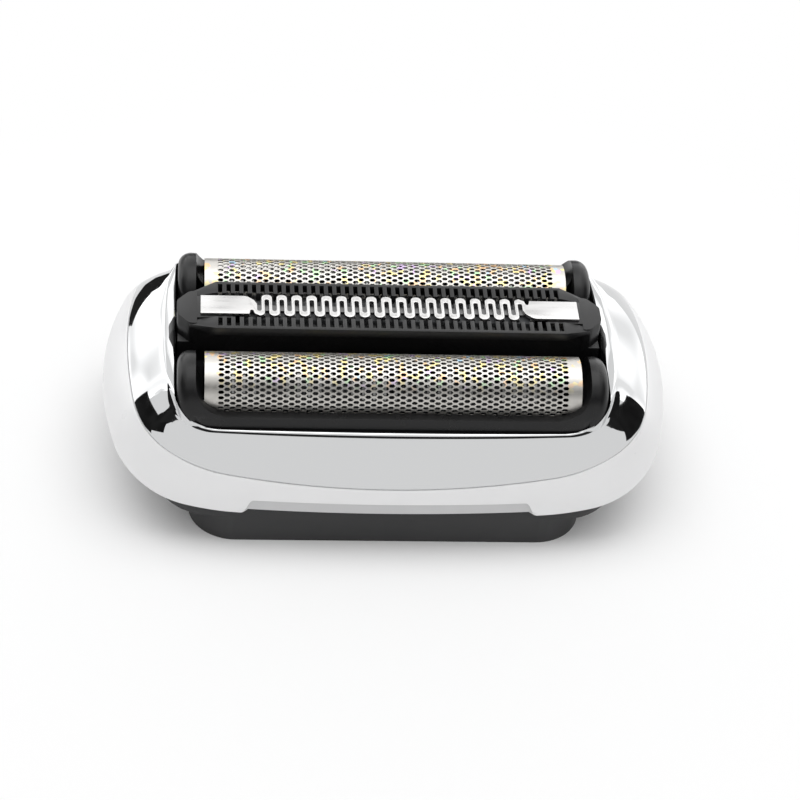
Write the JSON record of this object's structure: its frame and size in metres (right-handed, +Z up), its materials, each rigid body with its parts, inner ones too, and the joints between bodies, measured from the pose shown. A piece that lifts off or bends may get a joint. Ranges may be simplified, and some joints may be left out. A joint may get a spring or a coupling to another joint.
{
  "type": "shaver foil head",
  "caption": "Foil head for an electric shaver: two floating perforated foils and a middle trimmer in black frames, inside a chromed bezel on a white ring, over one sliding drive bridge.",
  "frame": {"origin": "on the floor, under the middle of the collar that the head stands on", "axes": "+X along the foils, -Y towards the front, +Z up out of the foils"},
  "size_m": [0.06, 0.0324, 0.0193],
  "materials": {
    "white_plastic": "satin white moulded plastic",
    "chrome": "bright chrome plating",
    "black_plastic": "satin black moulded plastic",
    "foil_metal": "bright perforated nickel sheet",
    "strip_steel": "ground steel",
    "blade_steel": "ground steel",
    "inner_plastic": "grey moulded plastic",
    "spring_steel": "bright spring wire"
  },
  "bodies": {
    "case": {"base_ring": "white_plastic", "chrome_bezel": "chrome", "cassette_frame": "black_plastic"},
    "front_foil_unit": {"front_foil_frame": "black_plastic", "front_foil": "foil_metal"},
    "rear_foil_unit": {"rear_foil_frame": "black_plastic", "rear_foil": "foil_metal"},
    "trimmer_unit": {"trimmer_housing": "black_plastic", "trimmer_strip": "strip_steel"},
    "drive": {"drive_bridge": "inner_plastic", "front_spring_left": "spring_steel", "front_spring_right": "spring_steel", "rear_spring_left": "spring_steel", "rear_spring_right": "spring_steel", "trimmer_spring_left": "spring_steel", "trimmer_spring_right": "spring_steel"},
    "front_cutter": {"front_cutter_blades": "blade_steel", "front_cutter_carrier": "inner_plastic"},
    "rear_cutter": {"rear_cutter_blades": "blade_steel", "rear_cutter_carrier": "inner_plastic"},
    "trimmer_cutter": {"trimmer_blade": "blade_steel", "trimmer_blade_carrier": "inner_plastic"}
  },
  "joints": [
    {"name": "front_foil_float", "type": "slide", "parent": "case", "child": "front_foil_unit", "axis": [0, 0, 1], "range_m": [-0.002, 0], "stiffness_N_per_m": 120, "springref_m": 0.004, "deforming": ["front_spring_left", "front_spring_right"]},
    {"name": "rear_foil_float", "type": "slide", "parent": "case", "child": "rear_foil_unit", "axis": [0, 0, 1], "range_m": [-0.002, 0], "stiffness_N_per_m": 120, "springref_m": 0.004, "deforming": ["rear_spring_left", "rear_spring_right"]},
    {"name": "trimmer_float", "type": "slide", "parent": "case", "child": "trimmer_unit", "axis": [0, 0, 1], "range_m": [-0.0015, 0], "stiffness_N_per_m": 150, "springref_m": 0.004, "deforming": ["trimmer_spring_left", "trimmer_spring_right"]},
    {"name": "drive_slide", "type": "slide", "parent": "case", "child": "drive", "axis": [1, 0, 0], "range_m": [-0.001, 0.001]},
    {"name": "front_cutter_slide", "type": "slide", "parent": "front_foil_unit", "child": "front_cutter", "axis": [1, 0, 0], "range_m": [-0.001, 0.001]},
    {"name": "rear_cutter_slide", "type": "slide", "parent": "rear_foil_unit", "child": "rear_cutter", "axis": [1, 0, 0], "range_m": [-0.001, 0.001]},
    {"name": "trimmer_cutter_slide", "type": "slide", "parent": "trimmer_unit", "child": "trimmer_cutter", "axis": [1, 0, 0], "range_m": [-0.001, 0.001]}
  ],
  "couplings": [
    {"joint": "front_cutter_slide", "follows": "drive_slide", "ratio": 1},
    {"joint": "rear_cutter_slide", "follows": "drive_slide", "ratio": 1},
    {"joint": "trimmer_cutter_slide", "follows": "drive_slide", "ratio": 1}
  ]
}
